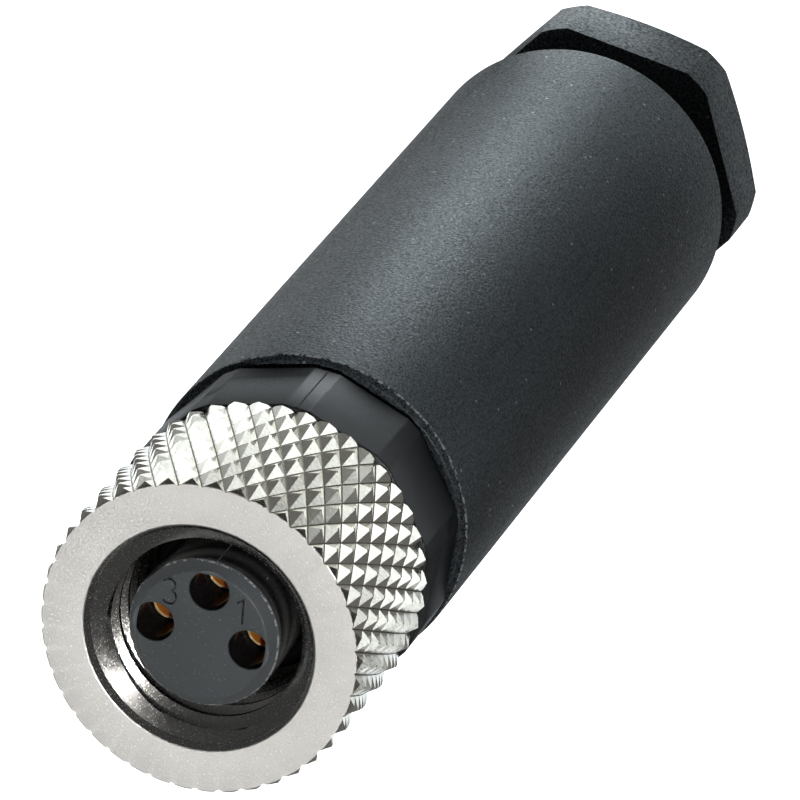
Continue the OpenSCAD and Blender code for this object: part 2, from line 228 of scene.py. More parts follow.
low, high = node_box("contact_1")
block_r = (high.y - low.y) / 2
block_x = high.x - block_r
rim_z, foot_z, block_top = high.z, low.z, low.z + BLOCK_LEN
root_z, lead_r = block_top - SOCKET_ROOT, SOCKET_BORE_R + SOCKET_LEAD
drill_place = Matrix.Translation((block_x + block_r, 0, SCREW_AXIS_Z)) @ LYING
for number, turn in CONTACT_TURNS.items():
    socket = bmesh.new()
    lathe(socket, [(0, root_z), (SOCKET_R, root_z), (SOCKET_R, rim_z - SOCKET_LIP),
                   (SOCKET_R - SOCKET_LIP, rim_z), (lead_r, rim_z), (lead_r - SOCKET_LIP, rim_z - SOCKET_LIP),
                   (SOCKET_BORE_R, rim_z - SOCKET_LEAD_DEPTH), (SOCKET_BORE_R, rim_z - SOCKET_BORE_DEPTH),
                   (0, rim_z - SOCKET_BORE_DEPTH - SOCKET_BORE_R / 2)], CONTACT_STEPS, (SOCKET_CIRCLE_R, 0))
    block = bmesh.new()
    lathe(block, [(0, foot_z + WIRE_BORE_DEPTH + WIRE_BORE_R / 2), (WIRE_BORE_R, foot_z + WIRE_BORE_DEPTH),
                  (WIRE_BORE_R, foot_z + BLOCK_EDGE), (WIRE_BORE_R + BLOCK_EDGE, foot_z),
                  (block_r - BLOCK_EDGE, foot_z), (block_r, foot_z + BLOCK_EDGE),
                  (block_r, block_top - BLOCK_EDGE), (block_r - BLOCK_EDGE, block_top), (0, block_top)],
          CONTACT_STEPS, (block_x, 0))
    drill = bmesh.new()
    bmesh.ops.create_cone(drill, cap_ends=True, segments=DRILL_STEPS, radius1=SCREW_BORE_R,
                          radius2=SCREW_BORE_R, depth=2 * block_r, matrix=drill_place)
    contact = carved(carved(block, socket, "UNION"), drill, "DIFFERENCE")
    turn_about_axis(contact, math.radians(turn))
    # Faces at the rim take the pale gold, the painted highlight along the lip.
    for face in contact.faces:
        face.material_index = 1 if face.calc_center_median().z > rim_z - SOCKET_LIP else 0
    settle(f"socket_contact_{number}", contact, "carrier", golds, [f"contact_{number}"])

# Terminal screws: small slotted screws of zinc-plated steel, one through the side of each contact's block.
# They are turned from bar and pinch the wire end in its bore.
SCREW_R, SCREW_ROOT_R, SCREW_PITCH, SCREW_STEPS = 0.8, 0.6, 0.35, 40
SCREW_HEAD_R, SCREW_HEAD_H, SCREW_HEAD_EDGE, SHANK_SUNK = 1.1, 0.55, 0.12, 0.02
SCREW_SLOT_W, SCREW_SLOT_DEPTH = 0.35, 0.28


def thread_wall(bm, root, crest, low, high, pitch, steps=72):
    """Winds one groove and ridge, given in shares of the pitch, and trims the wall flat at both heights."""
    outline = [(root, 0), (root, 0.1), (crest, 0.42), (crest, 0.58), (root, 0.9), (root, 1)]
    verts = [bm.verts.new((r, 0, low + (share - 1) * pitch)) for r, share in outline]
    edges = [bm.edges.new(pair) for pair in zip(verts, verts[1:])]
    turns = math.ceil((high - low) / pitch) + 2
    bmesh.ops.spin(bm, geom=verts + edges, cent=(0, 0, 0), axis=(0, 0, 1), dvec=(0, 0, pitch / steps),
                   angle=math.tau * turns, steps=turns * steps)
    bmesh.ops.remove_doubles(bm, verts=bm.verts, dist=1e-3)
    for height, side in ((low, -1), (high, 1)):
        bmesh.ops.bisect_plane(bm, geom=bm.verts[:] + bm.edges[:] + bm.faces[:], dist=1e-5,
                               plane_co=(0, 0, height), plane_no=(0, 0, side), clear_outer=True)


def close_ends(bm):
    """Closes every open flat end of a shape, holes in it left open."""
    ends = {}
    for edge in bm.edges:
        if edge.is_boundary:
            ends.setdefault(round(edge.verts[0].co.z, 3), []).append(edge)
    for edges in ends.values():
        bmesh.ops.triangle_fill(bm, use_beauty=True, edges=edges)


def joined(bm, other):
    """Adds another shape's shells to a shape; the other is used up."""
    mesh = bpy.data.meshes.new("shell")
    other.to_mesh(mesh)
    other.free()
    bm.from_mesh(mesh)
    bpy.data.meshes.remove(mesh)


zinc, tree, shader, place = new_finish("zinc_plate")
cloud = grain(tree, place, 0.35)
coloured(tree, shader, cloud, (0.62, 0.63, 0.62), (0.5, 0.52, 0.55))
tree.links.new(ranged(tree, cloud, 0.25, 0.42), shader.inputs["Roughness"])
tree.links.new(embossed(tree, grain(tree, place, 0.08), 0.002), shader.inputs["Normal"])
shader.inputs["Metallic"].default_value = 1.0

low, high = node_box("terminal_screw_1")
screw_tip_x, screw_end_x = low.x, high.x
screw_seat_x = screw_end_x - SCREW_HEAD_H
for number, turn in CONTACT_TURNS.items():
    head = bmesh.new()
    lathe(head, [(0, screw_seat_x), (SCREW_HEAD_R - SCREW_HEAD_EDGE / 2, screw_seat_x),
                 (SCREW_HEAD_R, screw_seat_x + SCREW_HEAD_EDGE / 2),
                 (SCREW_HEAD_R, screw_end_x - SCREW_HEAD_EDGE),
                 (SCREW_HEAD_R - SCREW_HEAD_EDGE, screw_end_x), (0, screw_end_x)], SCREW_STEPS)
    slot_bar = bmesh.new()
    bmesh.ops.create_cube(slot_bar, size=1.0)
    bmesh.ops.scale(slot_bar, vec=(SCREW_SLOT_W, 3 * SCREW_HEAD_R, 2 * SCREW_SLOT_DEPTH),
                    verts=slot_bar.verts)
    bmesh.ops.translate(slot_bar, vec=(0, 0, screw_end_x), verts=slot_bar.verts)
    screw = carved(head, slot_bar, "DIFFERENCE")
    shank = bmesh.new()
    thread_wall(shank, SCREW_ROOT_R, SCREW_R, screw_tip_x, screw_seat_x + SHANK_SUNK, SCREW_PITCH,
                SCREW_STEPS)
    close_ends(shank)
    joined(screw, shank)
    bmesh.ops.transform(screw, verts=screw.verts, matrix=Matrix.Translation((0, 0, SCREW_AXIS_Z)) @ LYING)
    turn_about_axis(screw, math.radians(turn))
    settle(f"wire_screw_{number}", screw, f"screw_{number}", [zinc],
           [f"terminal_screw_{number}"])

# Contact insert: the black plug-in face with its three contact holes, a keying flat and the contact numbers.
# It is moulded in a satin plastic. Two parting lines run up its side, and the digits 1 and 3 are sunk in it.
INSERT_R, INSERT_CHAMFER, INSERT_LIP = 2.75, 0.35, 0.04
INSERT_CORE_R, INSERT_UNDERSIDE_Z = 2.54, 45.76
HOLE_R, HOLE_LIP, SOCKET_PLAY = 0.725, 0.05, 0.02
KEY_ANGLE, KEY_DEPTH = 143, 0.07
DIGIT_PLACES, DIGIT_STROKE, DIGIT_DEPTH, DIGIT_UP = ((1.33, 1.36), (-1.4, 1.32)), 0.075, 0.08, 9
PARTING_W, PARTING_H = 0.05, 0.03
INSERT_STEPS, HOLE_STEPS = 128, 48
# Below: where the painted glint at the insert's outer edge lies, and how softly the painted chamfer sheen
# starts.
EDGE_GLINT_IN, EDGE_GLINT_HALF, CHAMFER_BLUR = 0.035, 0.022, 0.02
DIGIT, SHADED_WALL = 1, 2


def ring_edges(bm, segments, radius, height, centre=(0, 0)):
    """Adds a flat circle of edges and returns them."""
    ring = bmesh.ops.create_circle(bm, segments=segments, radius=radius,
                                   matrix=Matrix.Translation((*centre, height)))["verts"]
    return list(dict.fromkeys(e for v in ring for e in v.link_edges))


def grow_wall(bm, edges, centre, outline):
    """Draws a ring of edges on through radius and height points round an upright axis."""
    for radius, height in outline:
        grown = bmesh.ops.extrude_edge_only(bm, edges=edges)["geom"]
        edges = [e for e in grown if isinstance(e, bmesh.types.BMEdge)]
        for vert in {v for e in edges for v in e.verts}:
            way = (vert.co.xy - centre).normalized() * radius
            vert.co = (*(centre + way), height)
    return edges


def rounded(corner, before, after, radius, steps=3):
    """Points of a small rounding that replaces one corner of an outline."""
    corner, before, after = Vector(corner), Vector(before), Vector(after)
    start = corner + (before - corner).normalized() * radius
    end = corner + (after - corner).normalized() * radius
    points = []
    for step in range(steps + 1):
        share = step / steps
        points.append(tuple(start * (1 - share) ** 2 + corner * 2 * share * (1 - share) + end * share ** 2))
    return points


def arc(x, y, radius, start, end, steps=14):
    """Points of an arc between two angles in degrees."""
    angles = [math.radians(start + (end - start) * step / steps) for step in range(steps + 1)]
    return [Vector((x + radius * math.cos(a), y + radius * math.sin(a))) for a in angles]


def stroke(bm, line, width, place):
    """Lays one flat face of an even width along a line of points."""
    sides = ([], [])
    befores = [2 * line[0] - line[1]] + line
    afters = line[1:] + [2 * line[-1] - line[-2]]
    for before, point, after in zip(befores, line, afters):
        entry, leave = (point - before).normalized(), (after - point).normalized()
        across = (entry + leave).normalized().orthogonal()
        reach = width / 2 / across.dot(entry.orthogonal())
        for side, sign in zip(sides, (1, -1)):
            side.append(bm.verts.new(place @ (point + sign * reach * across).to_3d()))
    return bm.faces.new(sides[0] + sides[1][::-1])


def moved_corners(geom):
    """The corners among the geometry that an extrusion returns."""
    return [v for v in geom if isinstance(v, bmesh.types.BMVert)]


def parting_line(bm, y, low, high):
    """Adds the fine ridge that a mould's parting leaves on an upright wall."""
    ridge = bmesh.new()
    bmesh.ops.create_cube(ridge, size=1.0)
    bmesh.ops.scale(ridge, vec=(PARTING_W, 2 * PARTING_H, high - low), verts=ridge.verts)
    bmesh.ops.translate(ridge, vec=(0, y, (low + high) / 2), verts=ridge.verts)
    soften(ridge, PARTING_H / 2)
    joined(bm, ridge)


def speckle(tree, place, size_mm):
    """Distance from the middles of small random cells."""
    inputs = {"Vector": place, "Scale": 1 / (size_mm * MM)}
    return add(tree, "ShaderNodeTexVoronoi", inputs).outputs["Distance"]


def reckoned(tree, operation, *values):
    """One calculation with values or other nodes' outputs."""
    return add(tree, "ShaderNodeMath", dict(enumerate(values)), operation=operation).outputs[0]


insert_black, tree, shader, place = new_finish("insert_satin_black")
specks = speckle(tree, place, 0.16)
fine = grain(tree, place, 0.035, 3.0)
patchy = grain(tree, place, 0.16, 2.0)
level = add(tree, "ShaderNodeVectorMath", {0: place, 1: (1, 1, 0)}, operation="MULTIPLY").outputs["Vector"]
radius = add(tree, "ShaderNodeVectorMath", {0: level}, operation="LENGTH").outputs["Value"]
chamfer_r = INSERT_R - INSERT_CHAMFER
# The chamfer ring is painted lighter than the face: a painted sheen standing in for light catching the
# chamfer.
chamfer_sheen = ranged(tree, radius, 0, 0.22, (chamfer_r - CHAMFER_BLUR) * MM, (chamfer_r + CHAMFER_BLUR) * MM)
# A ragged pale ring just inside the outer edge, broken up by noise, is a painted highlight: the glint along
# the insert's edge.
edge = reckoned(tree, "COMPARE", radius, (INSERT_R - EDGE_GLINT_IN) * MM, EDGE_GLINT_HALF * MM)
ragged_glint = reckoned(tree, "MULTIPLY", edge, ranged(tree, patchy, 0, 1, 0.48, 0.56))
light = reckoned(tree, "MAXIMUM", ranged(tree, specks, 1, 0, 0.04, 0.16), chamfer_sheen)
dotted = tinted(tree, light, (0.034, 0.042, 0.046), (0.2, 0.21, 0.22))
whole = add(tree, "ShaderNodeMix", {"Factor": ragged_glint}, data_type="RGBA")
tree.links.new(dotted, whole.inputs[6])
whole.inputs[7].default_value = (0.4, 0.41, 0.42, 1)
tree.links.new(whole.outputs[2], shader.inputs["Base Color"])
tree.links.new(ranged(tree, fine, 0.38, 0.56), shader.inputs["Roughness"])
tree.links.new(embossed(tree, fine, 0.004), shader.inputs["Normal"])
shader.inputs["Specular IOR Level"].default_value = 0.68
# The sunk digits take a near-black: painted shade in their narrow grooves.
digit_shade_black, tree, shader, place = new_finish("sunk_digit_painted_shade")
fine = grain(tree, place, 0.05)
coloured(tree, shader, fine, (0.006, 0.006, 0.007), (0.014, 0.014, 0.016))
tree.links.new(ranged(tree, fine, 0.2, 0.4), shader.inputs["Roughness"])
# The walls of the holes and the insert's side wall take a darker black than the face: painted shade on the
# same plastic.
wall_shade_black, tree, shader, place = new_finish("wall_gloss_black_painted_shade")
fine = grain(tree, place, 0.12)
coloured(tree, shader, fine, (0.008, 0.008, 0.009), (0.016, 0.016, 0.018))
tree.links.new(ranged(tree, fine, 0.1, 0.2), shader.inputs["Roughness"])
shader.inputs["Specular IOR Level"].default_value = 0.1

low, high = node_box("contact_insert")
face_z, insert_foot_z = high.z, low.z
middle = Vector((0, 0))
hole_centres = [Vector((SOCKET_CIRCLE_R, 0)), Vector((0, SOCKET_CIRCLE_R)), Vector((-SOCKET_CIRCLE_R, 0))]
insert = bmesh.new()
digit_lines = ([Vector((-0.24, 0.29)), Vector((0.02, 0.47)), Vector((-0.03, -0.47))],
               arc(0, 0.235, 0.225, 150, -60) + arc(0, -0.22, 0.255, 60, -150))
for line, (digit_x, digit_y) in zip(digit_lines, DIGIT_PLACES):
    spot = Matrix.Translation((digit_x, digit_y, face_z)) @ Matrix.Rotation(math.radians(DIGIT_UP), 4, "Z")
    stroke(insert, line, DIGIT_STROKE, spot).material_index = DIGIT
face_edges = [e for e in insert.edges if e.is_boundary]
rim_edges = ring_edges(insert, INSERT_STEPS, chamfer_r - INSERT_LIP, face_z)
hole_edges = [ring_edges(insert, HOLE_STEPS, HOLE_R + HOLE_LIP, face_z, centre) for centre in hole_centres]
bmesh.ops.triangle_fill(insert, use_beauty=True,
                        edges=face_edges + rim_edges + [e for ring in hole_edges for e in ring])
chamfer_top, chamfer_end = (chamfer_r, face_z), (INSERT_R, face_z - INSERT_CHAMFER)
bottom = grow_wall(insert, rim_edges, middle,
                   rounded(chamfer_top, (0, face_z), chamfer_end, INSERT_LIP)[1:]
                   + rounded(chamfer_end, chamfer_top, (INSERT_R, 0), INSERT_LIP)
                   + [(INSERT_R, INSERT_UNDERSIDE_Z), (INSERT_CORE_R, INSERT_UNDERSIDE_Z),
                      (INSERT_CORE_R, insert_foot_z)])
for ring, centre in zip(hole_edges, hole_centres):
    before = set(insert.faces)
    bottom += grow_wall(insert, ring, centre,
                        rounded((HOLE_R, face_z), (2 * HOLE_R, face_z), (HOLE_R, 0), HOLE_LIP)[1:]
                        + [(HOLE_R, INSERT_UNDERSIDE_Z), (SOCKET_R + SOCKET_PLAY, INSERT_UNDERSIDE_Z),
                           (SOCKET_R + SOCKET_PLAY, insert_foot_z)])
    # Hole wall faces below the lip take the darker black, painted shade.
    for face in set(insert.faces) - before:
        if face.calc_center_median().z < face_z - HOLE_LIP:
            face.material_index = SHADED_WALL
bmesh.ops.triangle_fill(insert, use_beauty=True, edges=bottom)
key_way = Vector((math.cos(math.radians(KEY_ANGLE)), math.sin(math.radians(KEY_ANGLE)), 0))
bmesh.ops.bisect_plane(insert, geom=insert.verts[:] + insert.edges[:] + insert.faces[:], dist=1e-5,
                       plane_co=key_way * (INSERT_R - KEY_DEPTH), plane_no=key_way, clear_outer=True)
bmesh.ops.holes_fill(insert, edges=[e for e in insert.edges if e.is_boundary], sides=0)
# The side wall below the chamfer takes the darker black too, painted shade.
for face in insert.faces:
    spot = face.calc_center_median()
    if spot.z < chamfer_end[1] - INSERT_LIP and spot.xy.length > INSERT_CORE_R:
        face.material_index = SHADED_WALL
digit_faces = [f for f in insert.faces if f.material_index == DIGIT]
sunk = bmesh.ops.extrude_face_region(insert, geom=digit_faces)["geom"]
bmesh.ops.translate(insert, vec=(0, 0, -DIGIT_DEPTH), verts=moved_corners(sunk))
bmesh.ops.delete(insert, geom=digit_faces, context="FACES_ONLY")
for side in (-1, 1):
    parting_line(insert, side * INSERT_R, INSERT_UNDERSIDE_Z, chamfer_end[1])
settle("plug_in_face", insert, "carrier", [insert_black, digit_shade_black, wall_shade_black],
       ["contact_insert"])

# Contact carrier: one black moulding with the neck and bead that the nut snaps over, the ten-sided collar,
# the thread for the sleeve and the terminals' block. One bevel of the collar has the mould's parting line.
NECK_R, NECK_ROOT, NECK_EDGE = 3.3, 0.3, 0.03
BEAD_R, BEAD_Z, BEAD_LAND = 3.55, 44.3, 0.28
COLLAR_FLATS, COLLAR_AF = 10, 11.4
COLLAR_BEVEL, SEAM_BEVEL, COLLAR_EDGE = 0.63, 0.94, 0.06
COLLAR_LOW, COLLAR_HIGH = 39.05, 42.7
GROOVE_R, GROOVE_SUNK = 4.43, 0.1
CARRIER_THREAD_LOW, CARRIER_THREAD_HIGH, CARRIER_CUT = 33.01, 38.01, 0.02
CARRIER_THREAD_ROOT, CARRIER_THREAD_CREST, CARRIER_PITCH = 4.5, 5.0, 1.0
ROUND_STEPS = 96


def prism(sides, across_flats, first_angle, low, high):
    """A closed upright prism whose first corner lies at the given angle."""
    bm = bmesh.new()
    ring = bmesh.ops.create_circle(bm, cap_ends=True, segments=sides, matrix=Matrix.Translation((0, 0, low)),
                                   radius=across_flats / 2 / math.cos(math.pi / sides))["verts"]
    turn_about_axis(bm, first_angle - math.atan2(ring[0].co.y, ring[0].co.x))
    raised = bmesh.ops.extrude_face_region(bm, geom=bm.faces[:])["geom"]
    bmesh.ops.translate(bm, vec=(0, 0, high - low), verts=moved_corners(raised))
    bmesh.ops.recalc_face_normals(bm, faces=bm.faces)
    return bm


carrier_black, tree, shader, place = new_finish("collar_satin_black")
fine = grain(tree, place, 0.05, 3.0)
cloud = grain(tree, place, 0.9)
coloured(tree, shader, cloud, (0.006, 0.007, 0.008), (0.012, 0.013, 0.015))
tree.links.new(ranged(tree, fine, 0.34, 0.5), shader.inputs["Roughness"])
facing = add(tree, "ShaderNodeLayerWeight", {"Blend": 0.5}).outputs["Facing"]
shader.inputs["Specular IOR Level"].default_value = 0.3
tree.links.new(ranged(tree, facing, 0.45, 0.02, 0.5, 0.75), shader.inputs["Specular IOR Level"])
tree.links.new(embossed(tree, fine, 0.004), shader.inputs["Normal"])

low, high = node_box("contact_carrier")
neck_top_z = high.z
carrier = bmesh.new()
carrier.from_mesh(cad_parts["contact_carrier"].data)
bmesh.ops.scale(carrier, vec=(1 / MM, 1 / MM, 1 / MM), verts=carrier.verts)
bmesh.ops.remove_doubles(carrier, verts=carrier.verts, dist=1e-3)
bmesh.ops.bisect_plane(carrier, geom=carrier.verts[:] + carrier.edges[:] + carrier.faces[:], dist=1e-5,
                       plane_co=(0, 0, CARRIER_THREAD_LOW - CARRIER_CUT), plane_no=(0, 0, 1),
                       clear_outer=True)
close_ends(carrier)
for face in carrier.faces:
    face.material_index = 0
collar = prism(COLLAR_FLATS, COLLAR_AF, math.pi / 2, COLLAR_LOW, COLLAR_HIGH)
corner_r = COLLAR_AF / 2 / math.cos(math.pi / COLLAR_FLATS)
for seam, width in ((False, COLLAR_BEVEL), (True, SEAM_BEVEL)):
    corners = [e for e in collar.edges if abs(e.verts[0].co.z - e.verts[1].co.z) > 1
               and e.verts[0].co.xy.length > corner_r - 1e-3
               and (e.verts[0].co.y > corner_r - 1e-3) == seam]
    bmesh.ops.bevel(collar, geom=corners, offset=width, offset_type="WIDTH", segments=1, profile=0.5,
                    affect="EDGES", clamp_overlap=True, material=-1)
soften(collar, COLLAR_EDGE, over=10)
seam_y = corner_r - SEAM_BEVEL / 2 * math.tan(math.pi / COLLAR_FLATS)
parting_line(collar, seam_y, COLLAR_LOW + COLLAR_EDGE, COLLAR_HIGH - COLLAR_EDGE)
joined(carrier, collar)
neck = bmesh.new()
neck_low = COLLAR_HIGH - NECK_ROOT
lathe(neck, [(0, neck_low), (NECK_R, neck_low), (NECK_R, BEAD_Z), (BEAD_R, BEAD_Z),
             (BEAD_R, BEAD_Z + BEAD_LAND), (NECK_R, neck_top_z), (0, neck_top_z)], ROUND_STEPS)
soften(neck, NECK_EDGE)
joined(carrier, neck)
core = bmesh.new()
core_low, core_high = CARRIER_THREAD_HIGH - GROOVE_SUNK, COLLAR_LOW + GROOVE_SUNK
lathe(core, [(0, core_low), (GROOVE_R, core_low), (GROOVE_R, core_high), (0, core_high)], ROUND_STEPS)
joined(carrier, core)
thread = bmesh.new()
thread_wall(thread, CARRIER_THREAD_ROOT, CARRIER_THREAD_CREST, CARRIER_THREAD_LOW, CARRIER_THREAD_HIGH,
            CARRIER_PITCH)
close_ends(thread)
joined(carrier, thread)
settle("carrier_moulding", carrier, "carrier", [carrier_black], ["contact_carrier"])

# Ring seals: two moulded rubber rings, one at the foot of the plug-in face and one in the carrier's groove.
# They are stretched into place; the front one meets the mate and the rear one closes the sleeve's mouth.
SECTION_STEPS = 28
rubber, tree, shader, place = new_finish("seal_rubber_matt")
bloom = grain(tree, place, 0.5)
fine = grain(tree, place, 0.06)
coloured(tree, shader, bloom, (0.012, 0.012, 0.013), (0.024, 0.024, 0.026))
tree.links.new(ranged(tree, fine, 0.55, 0.75), shader.inputs["Roughness"])
tree.links.new(embossed(tree, fine, 0.003), shader.inputs["Normal"])

for name, node, body in (("front_ring_seal", "face_seal", "carrier"),
                         ("rear_ring_seal", "carrier_seal", "carrier_lift")):
    low, high = node_box(node)
    section_r = (high.z - low.z) / 2
    section_place = Matrix.Translation((high.x - section_r, 0, (low.z + high.z) / 2))
    seal = bmesh.new()
    bmesh.ops.create_circle(seal, segments=SECTION_STEPS, radius=section_r,
                            matrix=section_place @ Matrix.Rotation(math.pi / 2, 4, "X"))
    bmesh.ops.spin(seal, geom=seal.verts[:] + seal.edges[:], cent=(0, 0, 0), axis=(0, 0, 1), angle=math.tau,
                   steps=ROUND_STEPS, use_merge=True)
    settle(name, seal, body, [rubber], [node])

# Coupling nut: a ring of nickel-plated brass with a pyramid knurl, which turns freely on the carrier's neck.
# It is knurled, faced and bored on a lathe, and its inner thread pulls the two connectors together.
KNURL_COUNT, KNURL_ROWS, KNURL_DEPTH, KNURL_GROOVE, KNURL_TIP = 42, 8, 0.3, 0.025, 0.08
KNURL_WEAR, KNURL_WEAR_PER_MM, KNURL_PAD_AREA = 0.025, 3.1, 0.3
FRONT_CHAMFER, REAR_CHAMFER, CHAMFER_SPARE = (0.24, 0.4), (0.22, 0.24), 0.1
MOUTH_R, MOUTH_BEVEL, FACE_LIP = 4.05, 0.2, 0.04
RELIEF_R, RELIEF_LOW, RELIEF_HIGH, FLANGE_R = 4.2, 44.2, 45.7, 3.35
NUT_THREAD_CREST, NUT_THREAD_HIGH, NUT_PITCH, NUT_RUN_IN = 3.45, 50.15, 1.0, 0.36
THREAD_SUNK, THREAD_BACK, THREAD_CLEAR = 0.02, 0.12, 0.05
NUT_STEPS, FLANK_RISE, FLANK_CUTS = 168, 0.1, 4
KNURLED, FACED, BORED, SHADED_GROOVE = 0, 1, 2, 3
BORE_BELOW, GROOVE_BELOW = -0.05, 0.015


def nickel(name, roughness, tone, speck_mm, bump_mm, stretch=(1, 1, 1)):
    """Nickel plate on brass: slightly warm, with a fine grain in its gloss."""
    finish, tree, shader, place = new_finish(name)
    fine = grain(tree, place, speck_mm, 3.0, stretch)
    cloud = grain(tree, place, 1.4)
    coloured(tree, shader, cloud, tone, [0.93 * c for c in tone])
    tree.links.new(ranged(tree, fine, *roughness), shader.inputs["Roughness"])
    tree.links.new(embossed(tree, fine, bump_mm), shader.inputs["Normal"])
    shader.inputs["Metallic"].default_value = 1.0
    return finish


knurl_nickel = nickel("knurl_bright_nickel", (0.12, 0.26), (0.84, 0.8, 0.71), 0.12, 0.004)
face_nickel = nickel("faced_satin_nickel", (0.26, 0.54), (0.8, 0.78, 0.74), 0.08, 0.012)
# The knurl's narrow valley grooves take a near-black nickel: painted shade in the valleys.
groove_shade_nickel = nickel("groove_painted_shade_nickel", (0.35, 0.55), (0.16, 0.15, 0.12), 0.1, 0.004)
bore_nickel = nickel("bore_turned_nickel", (0.1, 0.3), (0.8, 0.78, 0.73), 0.07, 0.002, (1, 1, 2))

low, high = node_box("coupling_nut")
nut_low, nut_high, crest_r = low.z, high.z, max(high.x, high.y)
valley_r = crest_r - KNURL_DEPTH
row_h = (nut_high - nut_low) / KNURL_ROWS
knurl = bmesh.new()
lathe(knurl, [(valley_r, nut_low + k * row_h) for k in range(-1, KNURL_ROWS + 2)], 2 * KNURL_COUNT)
valleys, crests = [], []
for vert in knurl.verts:
    step = round(math.atan2(vert.co.y, vert.co.x) / math.pi * KNURL_COUNT)
    row = round((vert.co.z - nut_low) / row_h)
    if (step + row) % 2:
        valleys.append(vert)
    else:
        crests.append(vert)
bmesh.ops.connect_verts(knurl, verts=valleys)
bmesh.ops.dissolve_verts(knurl, verts=crests)
bmesh.ops.inset_individual(knurl, faces=knurl.faces[:], thickness=KNURL_GROOVE, use_even_offset=True)
pads = [f for f in knurl.faces
        if all(len(e.link_faces) == 2 for e in f.edges) and f.calc_area() > KNURL_PAD_AREA]
tips = bmesh.ops.poke(knurl, faces=pads, offset=0.0)["verts"]
for vert in tips:
    worn = KNURL_WEAR * (0.5 + 0.5 * noise.noise(vert.co * KNURL_WEAR_PER_MM))
    vert.co.xy *= (crest_r - worn) / vert.co.xy.length
bmesh.ops.bevel(knurl, geom=tips, offset=KNURL_TIP, offset_type="OFFSET", segments=1, profile=0.5,
                affect="VERTICES", clamp_overlap=True, material=-1)
close_ends(knurl)
bevel_out, bevel_in = (MOUTH_R + MOUTH_BEVEL, nut_high), (MOUTH_R, nut_high - MOUTH_BEVEL)
face_edge, outside_r = (crest_r - FRONT_CHAMFER[0], nut_high), crest_r + CHAMFER_SPARE
front_foot = (outside_r, nut_high - FRONT_CHAMFER[1] * (1 + CHAMFER_SPARE / FRONT_CHAMFER[0]))
rear_foot = (outside_r, nut_low + REAR_CHAMFER[1] * (1 + CHAMFER_SPARE / REAR_CHAMFER[0]))
turned = bmesh.new()
lathe(turned, [(FLANGE_R, nut_low + FACE_LIP), (FLANGE_R + FACE_LIP, nut_low),
               (crest_r - REAR_CHAMFER[0], nut_low), rear_foot, front_foot]
      + rounded(face_edge, front_foot, (0, nut_high), FACE_LIP)
      + rounded(bevel_out, face_edge, bevel_in, FACE_LIP)
      + rounded(bevel_in, bevel_out, (MOUTH_R, 0), FACE_LIP)
      + [(MOUTH_R, RELIEF_HIGH), (RELIEF_R, RELIEF_HIGH), (RELIEF_R, RELIEF_LOW), (FLANGE_R, RELIEF_LOW)],
      NUT_STEPS, closed=True)
nut = carved(turned, knurl, "INTERSECT")
bmesh.ops.remove_doubles(nut, verts=nut.verts, dist=1e-4)
bmesh.ops.recalc_face_normals(nut, faces=nut.faces)
for face in nut.faces:
    spot = face.calc_center_median()
    outer = spot.xy.length - valley_r
    if spot.z > nut_high - FACE_LIP and spot.xy.length > MOUTH_R + MOUTH_BEVEL / 2:
        face.material_index = FACED
    elif outer < BORE_BELOW:
        face.material_index = BORED
    # Faces at the valley radius are the groove insets, which take the painted valley shade.
    elif outer < GROOVE_BELOW:
        face.material_index = SHADED_GROOVE
    else:
        face.material_index = KNURLED
thread = bmesh.new()
thread_root, thread_low = MOUTH_R + THREAD_SUNK, RELIEF_HIGH + THREAD_CLEAR
thread_wall(thread, thread_root, NUT_THREAD_CREST, thread_low, NUT_THREAD_HIGH, NUT_PITCH)
flanks = [e for e in thread.edges
          if abs(e.verts[0].co.xy.length - e.verts[1].co.xy.length) > FLANK_RISE]
bmesh.ops.subdivide_edges(thread, edges=flanks, cuts=FLANK_CUTS, use_grid_fill=True)
for vert in thread.verts:
    opened = (vert.co.z - NUT_THREAD_HIGH + NUT_RUN_IN) / NUT_RUN_IN
    run_in = NUT_THREAD_CREST + opened * (thread_root - NUT_THREAD_CREST)
    if vert.co.xy.length < run_in:
        vert.co.xy = vert.co.xy.normalized() * run_in
backs = []
for height in (thread_low, NUT_THREAD_HIGH):
    backs += ring_edges(thread, ROUND_STEPS, MOUTH_R + THREAD_BACK, height)
bmesh.ops.bridge_loops(thread, edges=backs)
close_ends(thread)
for face in thread.faces:
    face.material_index = BORED
joined(nut, thread)
settle("knurled_nut", nut, "nut", [knurl_nickel, face_nickel, bore_nickel, groove_shade_nickel],
       ["coupling_nut"], crease=20)

# Sleeve: the long black tube with a fine eroded grain, moulded in glass-filled plastic.
# It screws onto the carrier in front and takes the cable gland behind.
SLEEVE_R, SLEEVE_EDGE, SLEEVE_RIM, SLEEVE_REAR_EDGE = 6.0, 0.35, 0.2, 0.1
RIM_ROUND, LIP_ROUND, MOUTH_ROUND = 0.06, 0.04, 0.05
SLEEVE_MOUTH_R, SLEEVE_MOUTH_DEPTH, SLEEVE_THREAD_R = 5.5, 1.6, 5.05
CHAMBER_R, CHAMBER_TOP = 4.8, 32.91
WEB_R, WEB_LOW, WEB_HIGH, REAR_BORE_R = 3.0, 19.95, 21.1, 4.55
FLECK_SPACING, RIM_GLINT_WIDTH = 0.75, 0.045
SLEEVE_STEPS = 160


